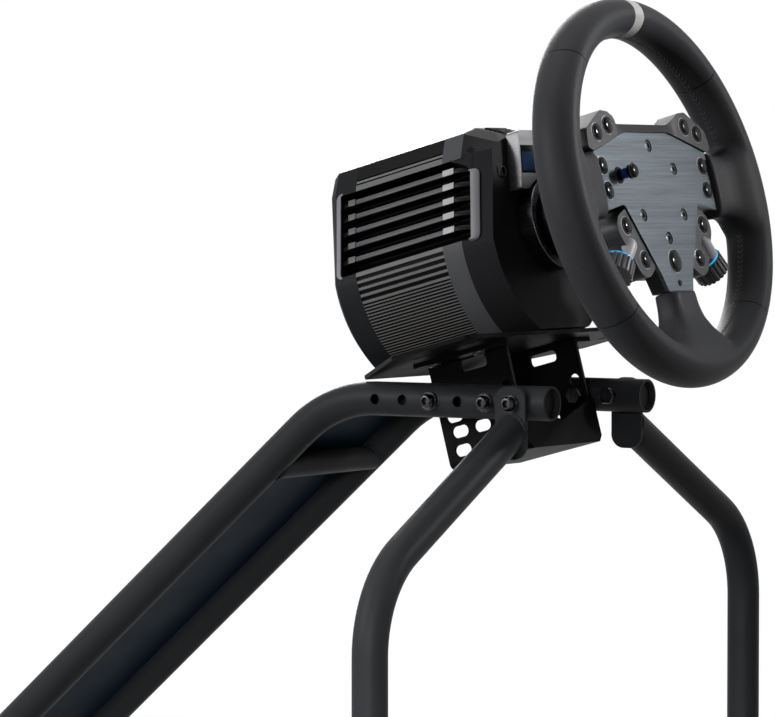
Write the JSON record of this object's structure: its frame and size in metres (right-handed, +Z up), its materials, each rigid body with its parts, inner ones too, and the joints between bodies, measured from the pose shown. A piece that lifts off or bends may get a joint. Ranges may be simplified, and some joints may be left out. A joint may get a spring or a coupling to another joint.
{
  "type": "sim racing cockpit steering stand",
  "caption": "Tubular steering stand of a sim racing cockpit with a tilted deck, finned motor base with louvred vents, and a leather wheel with buttons, knobs and a thumb lever.",
  "frame": {"origin": "floor level, under the middle of the stand's length and width", "axes": "+Z up, -Y towards the driver, +X to the driver's right"},
  "size_m": [0.578, 0.92, 0.8562],
  "materials": {
    "black_powder_coat": "satin powder coat",
    "navy_panel": "satin",
    "plug_plastic": "matte moulded",
    "foot_rubber": "matte rubber",
    "dark_steel": "black oxide",
    "anodised_black": "black anodised",
    "case_plastic": "fine texture",
    "bezel_metal": "brushed",
    "screen_glass": "clear gloss",
    "rim_leather": "grained",
    "brushed_plate": "brushed, anodised blue grey",
    "pod_plastic": "fine texture",
    "blue_ring": "gloss",
    "button_gloss": "high gloss",
    "knob_plastic": "satin",
    "lever_gloss": "gloss"
  },
  "bodies": {
    "stand": {"left_column_tube": "black_powder_coat", "right_column_tube": "black_powder_coat", "column_crossbar": "black_powder_coat", "column_panel": "navy_panel", "left_leg_tube": "black_powder_coat", "right_leg_tube": "black_powder_coat", "left_leg_tab": "black_powder_coat", "right_leg_tab": "black_powder_coat", "left_floor_rail": "black_powder_coat", "right_floor_rail": "black_powder_coat", "front_floor_tube": "black_powder_coat", "tube_end_plugs": "plug_plastic", "rubber_feet": "foot_rubber", "deck_plate": "black_powder_coat", "tilt_bracket": "black_powder_coat", "frame_bolts": "dark_steel", "motor_body": "anodised_black", "front_cap": "case_plastic", "rear_cap": "case_plastic", "left_vent_louvres": "case_plastic", "right_vent_louvres": "case_plastic", "display_bezel": "bezel_metal", "display_screen": "screen_glass", "shaft_collar": "anodised_black"},
    "steering_wheel": {"wheel_rim": "rim_leather", "hub_plate": "brushed_plate", "hub_housing": "case_plastic", "quick_release": "anodised_black", "upper_button_bar": "pod_plastic", "left_pod": "pod_plastic", "right_pod": "pod_plastic", "knob_rings": "blue_ring", "button_collars": "button_gloss"},
    "left_knob": {"left_knob": "knob_plastic"},
    "right_knob": {"right_knob": "knob_plastic"},
    "hat_ball": {"hat_ball": "lever_gloss"},
    "hat_lever": {"hat_lever": "lever_gloss"},
    "left_bar_button_inner": {"left_bar_button_inner": "button_gloss"},
    "left_bar_button_outer": {"left_bar_button_outer": "button_gloss"},
    "left_plate_button_high": {"left_plate_button_high": "button_gloss"},
    "left_plate_button_low": {"left_plate_button_low": "button_gloss"},
    "left_pod_button_high": {"left_pod_button_high": "button_gloss"},
    "left_pod_button_low": {"left_pod_button_low": "button_gloss"},
    "right_bar_button_inner": {"right_bar_button_inner": "button_gloss"},
    "right_bar_button_outer": {"right_bar_button_outer": "button_gloss"},
    "right_plate_button_high": {"right_plate_button_high": "button_gloss"},
    "right_plate_button_low": {"right_plate_button_low": "button_gloss"},
    "right_pod_button_high": {"right_pod_button_high": "button_gloss"},
    "right_pod_button_low": {"right_pod_button_low": "button_gloss"},
    "centre_button": {"centre_button": "button_gloss"}
  },
  "joints": [
    {"name": "wheel_turn", "type": "hinge", "parent": "stand", "child": "steering_wheel", "pos_m": [0, -0.40786, 0.71344], "axis": [0, -0.9662, 0.2576], "range_deg": [-450, 450]},
    {"name": "left_knob_turn", "type": "hinge", "parent": "steering_wheel", "child": "left_knob", "pos_m": [-0.065, -0.41264, 0.66255], "axis": [-0.6691, -0.1915, -0.7181], "continuous": true},
    {"name": "right_knob_turn", "type": "hinge", "parent": "steering_wheel", "child": "right_knob", "pos_m": [0.065, -0.41264, 0.66255], "axis": [0.6691, -0.1915, -0.7181], "continuous": true},
    {"name": "hat_up_down", "type": "hinge", "parent": "steering_wheel", "child": "hat_ball", "pos_m": [-0.0532, -0.4031, 0.72511], "axis": [1, 0, 0], "range_deg": [-10, 10], "stiffness_Nm_per_rad": 0.05},
    {"name": "hat_left_right", "type": "hinge", "parent": "hat_ball", "child": "hat_lever", "pos_m": [-0.0532, -0.4031, 0.72511], "axis": [0, 0.2576, 0.9662], "range_deg": [-10, 10], "stiffness_Nm_per_rad": 0.05},
    {"name": "left_bar_button_inner_press", "type": "slide", "parent": "steering_wheel", "child": "left_bar_button_inner", "axis": [0, 0.9662, -0.2576], "range_m": [0, 0.0008], "stiffness_N_per_m": 300},
    {"name": "left_bar_button_outer_press", "type": "slide", "parent": "steering_wheel", "child": "left_bar_button_outer", "axis": [0, 0.9662, -0.2576], "range_m": [0, 0.0008], "stiffness_N_per_m": 300},
    {"name": "left_plate_button_high_press", "type": "slide", "parent": "steering_wheel", "child": "left_plate_button_high", "axis": [0, 0.9662, -0.2576], "range_m": [0, 0.0008], "stiffness_N_per_m": 300},
    {"name": "left_plate_button_low_press", "type": "slide", "parent": "steering_wheel", "child": "left_plate_button_low", "axis": [0, 0.9662, -0.2576], "range_m": [0, 0.0008], "stiffness_N_per_m": 300},
    {"name": "left_pod_button_high_press", "type": "slide", "parent": "steering_wheel", "child": "left_pod_button_high", "axis": [0, 0.9662, -0.2576], "range_m": [0, 0.0008], "stiffness_N_per_m": 300},
    {"name": "left_pod_button_low_press", "type": "slide", "parent": "steering_wheel", "child": "left_pod_button_low", "axis": [0, 0.9662, -0.2576], "range_m": [0, 0.0008], "stiffness_N_per_m": 300},
    {"name": "right_bar_button_inner_press", "type": "slide", "parent": "steering_wheel", "child": "right_bar_button_inner", "axis": [0, 0.9662, -0.2576], "range_m": [0, 0.0008], "stiffness_N_per_m": 300},
    {"name": "right_bar_button_outer_press", "type": "slide", "parent": "steering_wheel", "child": "right_bar_button_outer", "axis": [0, 0.9662, -0.2576], "range_m": [0, 0.0008], "stiffness_N_per_m": 300},
    {"name": "right_plate_button_high_press", "type": "slide", "parent": "steering_wheel", "child": "right_plate_button_high", "axis": [0, 0.9662, -0.2576], "range_m": [0, 0.0008], "stiffness_N_per_m": 300},
    {"name": "right_plate_button_low_press", "type": "slide", "parent": "steering_wheel", "child": "right_plate_button_low", "axis": [0, 0.9662, -0.2576], "range_m": [0, 0.0008], "stiffness_N_per_m": 300},
    {"name": "right_pod_button_high_press", "type": "slide", "parent": "steering_wheel", "child": "right_pod_button_high", "axis": [0, 0.9662, -0.2576], "range_m": [0, 0.0008], "stiffness_N_per_m": 300},
    {"name": "right_pod_button_low_press", "type": "slide", "parent": "steering_wheel", "child": "right_pod_button_low", "axis": [0, 0.9662, -0.2576], "range_m": [0, 0.0008], "stiffness_N_per_m": 300},
    {"name": "centre_button_press", "type": "slide", "parent": "steering_wheel", "child": "centre_button", "axis": [0, 0.9662, -0.2576], "range_m": [0, 0.0008], "stiffness_N_per_m": 300}
  ]
}
